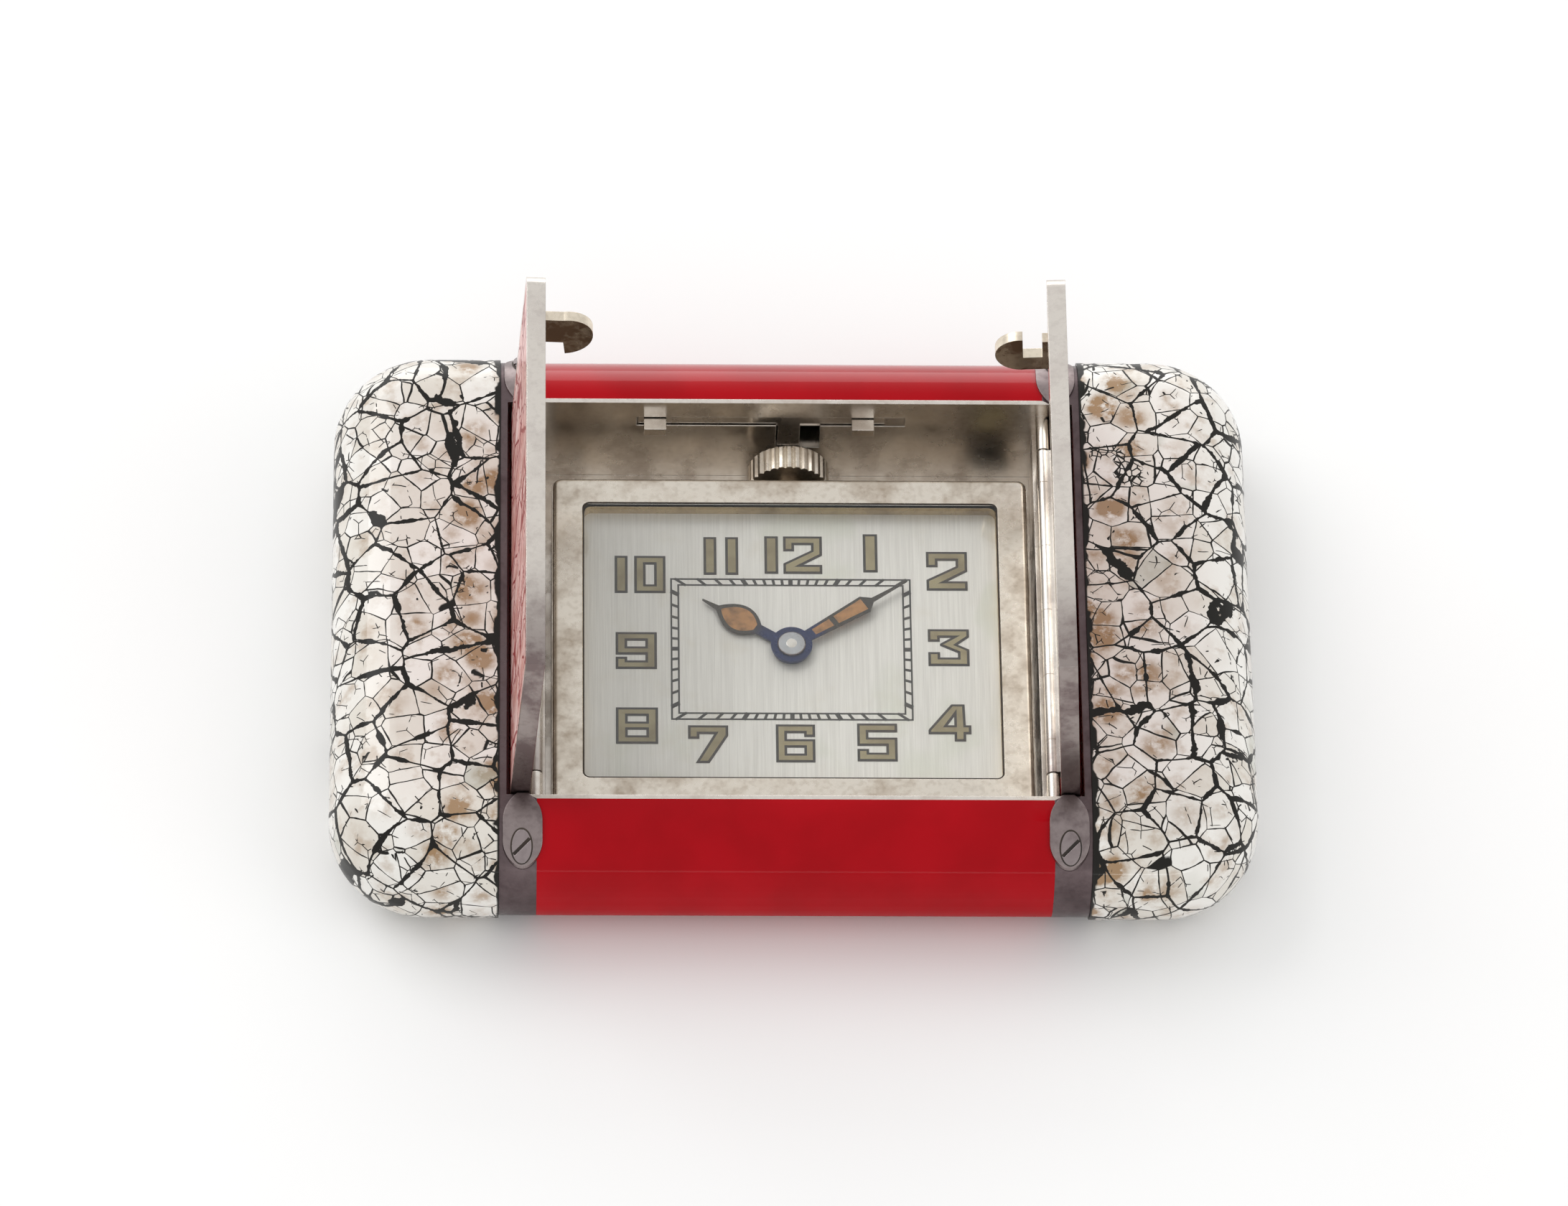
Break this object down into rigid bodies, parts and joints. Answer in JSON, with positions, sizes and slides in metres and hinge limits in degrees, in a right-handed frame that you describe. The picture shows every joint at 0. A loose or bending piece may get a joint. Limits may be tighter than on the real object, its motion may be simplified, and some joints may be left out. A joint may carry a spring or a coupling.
{
  "type": "pendulette clock",
  "caption": "Purse pendulette: a flat pillow-shaped case with two hinged doors over a well, in which a square-cornered watch folds flat or props up on its lower hinge.",
  "frame": {"origin": "centre of the case's back, where the case lies down", "axes": "+X to 3 on the dial, +Y to 12, +Z out of the case's front"},
  "size_m": [0.0494, 0.034, 0.0202],
  "materials": {
    "silver": "tarnished polished silver",
    "belt_silver": "tarnished silver",
    "red_lacquer": "glossy red lacquer",
    "red_eggshell": "crushed eggshell in red lacquer",
    "eggshell_lacquer": "crushed eggshell under clear lacquer",
    "dial_silvered": "vertically brushed, silvered",
    "blued_steel": "blued and polished",
    "lume": "aged lume",
    "glass": "clear",
    "movement_brass": "brushed",
    "steel": "polished"
  },
  "bodies": {
    "case": {"case_shell": "silver", "eggshell_end_left": "eggshell_lacquer", "eggshell_end_right": "eggshell_lacquer", "red_band_six": "red_lacquer", "red_band_twelve": "red_lacquer", "red_back": "red_lacquer", "pad_six_left": "belt_silver", "pad_six_right": "belt_silver", "pad_twelve_left": "belt_silver", "pad_twelve_right": "belt_silver", "pad_screws": "belt_silver", "door_pin_left": "steel", "door_pin_right": "steel", "watch_hinge_pin": "steel"},
    "left_door": {"door_plate_left": "silver", "door_inlay_left": "red_eggshell", "hook_left": "silver"},
    "right_door": {"door_plate_right": "silver", "door_inlay_right": "red_eggshell", "hook_right": "silver"},
    "latch": {"latch_bar": "steel", "thumb_slide": "silver"},
    "watch": {"watch_middle": "silver", "watch_bezel": "silver", "watch_back": "silver", "glass": "glass", "rehaut": "silver", "dial": "dial_silvered", "lift_tab": "silver", "main_plate": "movement_brass", "train_bridge": "movement_brass", "barrel_bridge": "movement_brass", "balance_cock": "movement_brass", "barrel": "movement_brass", "third_wheel": "movement_brass", "fourth_wheel": "movement_brass", "escape_wheel": "steel", "balance_wheel": "movement_brass"},
    "collar": {"stem_collar": "steel"},
    "crown": {"crown": "silver", "winding_stem": "steel"},
    "minute": {"minute_hand": "blued_steel", "minute_lume": "lume", "cannon_pinion": "steel", "centre_wheel": "movement_brass"},
    "hour": {"hour_hand": "blued_steel", "hour_lume": "lume", "hour_wheel": "movement_brass"}
  },
  "joints": [
    {"name": "left_door_hinge", "type": "hinge", "parent": "case", "child": "left_door", "pos_m": [-0.01375, 0, 0.00645], "axis": [0, -1, 0], "range_deg": [-86.6, 0]},
    {"name": "right_door_hinge", "type": "hinge", "parent": "case", "child": "right_door", "pos_m": [0.01375, 0, 0.00645], "axis": [0, 1, 0], "range_deg": [-86.6, 0]},
    {"name": "watch_tilt", "type": "hinge", "parent": "case", "child": "watch", "pos_m": [0, -0.012, 0.0048], "axis": [1, 0, 0], "range_deg": [0, 47.7]},
    {"name": "latch_slide", "type": "slide", "parent": "case", "child": "latch", "axis": [1, 0, 0], "range_m": [0, 0.001]},
    {"name": "crown_pull", "type": "slide", "parent": "watch", "child": "collar", "axis": [0, 1, 0], "range_m": [0, 0.0006]},
    {"name": "crown_turn", "type": "hinge", "parent": "collar", "child": "crown", "pos_m": [0, 0.01, 0.0033], "axis": [0, 1, 0], "continuous": true},
    {"name": "minute_turn", "type": "hinge", "parent": "watch", "child": "minute", "pos_m": [0, -0.001, 0.0045], "axis": [0, 0, -1], "continuous": true},
    {"name": "hour_turn", "type": "hinge", "parent": "watch", "child": "hour", "pos_m": [0, -0.001, 0.0045], "axis": [0, 0, -1], "continuous": true}
  ],
  "couplings": [
    {"joint": "hour_turn", "follows": "minute_turn", "ratio": 0.083333}
  ]
}
